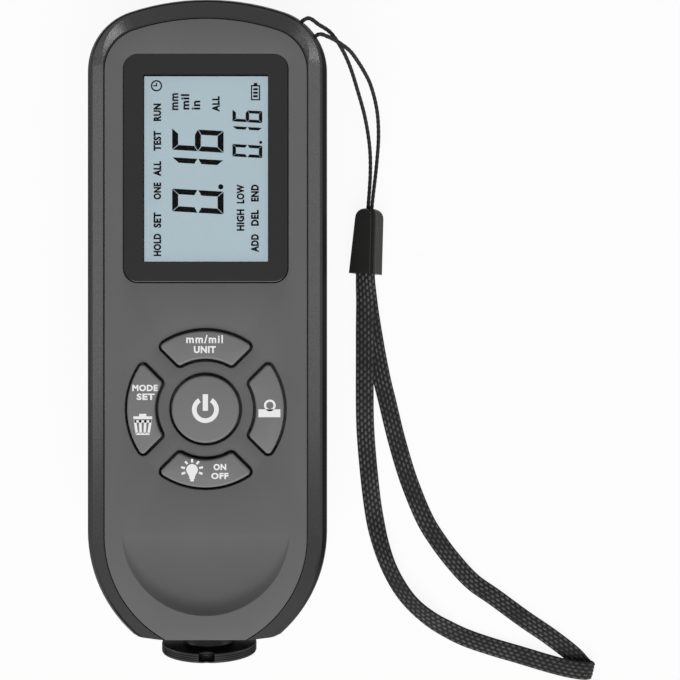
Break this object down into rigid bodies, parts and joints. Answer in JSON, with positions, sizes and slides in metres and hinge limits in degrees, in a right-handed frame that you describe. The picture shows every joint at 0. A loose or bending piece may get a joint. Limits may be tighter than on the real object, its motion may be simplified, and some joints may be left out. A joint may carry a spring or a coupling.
{
  "type": "coating thickness gauge",
  "caption": "Handheld coating thickness gauge with a display, ring keys, a sprung contact probe at one end and a braided wrist strap.",
  "frame": {"origin": "on the resting surface under the middle of the gauge, measured without the strap", "axes": "+Z out of the face, +Y to the strap end, +X to the side that the strap lies on; the gauge lies on its back with the probe towards -Y"},
  "size_m": [0.1099, 0.1453, 0.027],
  "materials": {
    "case_plastic": "dark grey satin moulded plastic",
    "panel_plastic": "mid grey fine matt plastic",
    "window_plastic": "clear plate with a printed dark border",
    "display_glass": "pale blue grey display",
    "white_plastic": "white plastic",
    "board_laminate": "green lacquered board",
    "black_plastic": "black plastic",
    "steel": "plain steel",
    "mat_rubber": "grey silicone rubber",
    "key_plastic": "light grey key plastic",
    "probe_plastic": "dark grey probe plastic",
    "coil_wire": "enamelled copper wire",
    "lead_rubber": "black lead",
    "cell_jacket": "plain grey jacket",
    "strap_fabric": "black nylon braid",
    "lock_plastic": "black moulded plastic"
  },
  "bodies": {
    "case": {"front_shell": "case_plastic", "rear_shell": "case_plastic", "face_panel": "panel_plastic", "display_window": "window_plastic", "lcd_glass": "display_glass", "backlight_panel": "white_plastic", "lcd_holder": "white_plastic", "main_board": "board_laminate", "board_parts": "black_plastic", "board_screws": "steel", "keypad_mat": "mat_rubber", "probe_barrel": "black_plastic", "barrel_cap": "black_plastic", "probe_spring": "steel", "probe_lead": "lead_rubber", "battery_cells": "cell_jacket", "battery_contacts": "steel", "case_screws": "steel", "strap_cord": "strap_fabric", "strap_lock": "lock_plastic", "strap_braid": "strap_fabric"},
    "power_key": {"power_key": "key_plastic"},
    "unit_key": {"unit_key": "key_plastic"},
    "mode_key": {"mode_key": "key_plastic"},
    "zero_key": {"zero_key": "key_plastic"},
    "light_key": {"light_key": "key_plastic"},
    "probe": {"probe_plunger": "probe_plastic", "probe_core": "steel", "probe_coil": "coil_wire", "probe_clip": "steel"},
    "cover": {"battery_cover": "case_plastic"}
  },
  "joints": [
    {"name": "power_press", "type": "slide", "parent": "case", "child": "power_key", "axis": [0, 0, -1], "range_m": [0, 0.0006], "stiffness_N_per_m": 600, "springref_m": -0.001, "deforming": ["keypad_mat"]},
    {"name": "unit_press", "type": "slide", "parent": "case", "child": "unit_key", "axis": [0, 0, -1], "range_m": [0, 0.0006], "stiffness_N_per_m": 600, "springref_m": -0.001, "deforming": ["keypad_mat"]},
    {"name": "mode_press", "type": "slide", "parent": "case", "child": "mode_key", "axis": [0, 0, -1], "range_m": [0, 0.0006], "stiffness_N_per_m": 600, "springref_m": -0.001, "deforming": ["keypad_mat"]},
    {"name": "zero_press", "type": "slide", "parent": "case", "child": "zero_key", "axis": [0, 0, -1], "range_m": [0, 0.0006], "stiffness_N_per_m": 600, "springref_m": -0.001, "deforming": ["keypad_mat"]},
    {"name": "light_press", "type": "slide", "parent": "case", "child": "light_key", "axis": [0, 0, -1], "range_m": [0, 0.0006], "stiffness_N_per_m": 600, "springref_m": -0.001, "deforming": ["keypad_mat"]},
    {"name": "probe_press", "type": "slide", "parent": "case", "child": "probe", "axis": [0, 1, 0], "range_m": [0, 0.003], "stiffness_N_per_m": 700, "springref_m": -0.003, "deforming": ["probe_spring"]},
    {"name": "cover_slide", "type": "slide", "parent": "case", "child": "cover", "axis": [0, 1, 0], "range_m": [0, 0.07]}
  ]
}
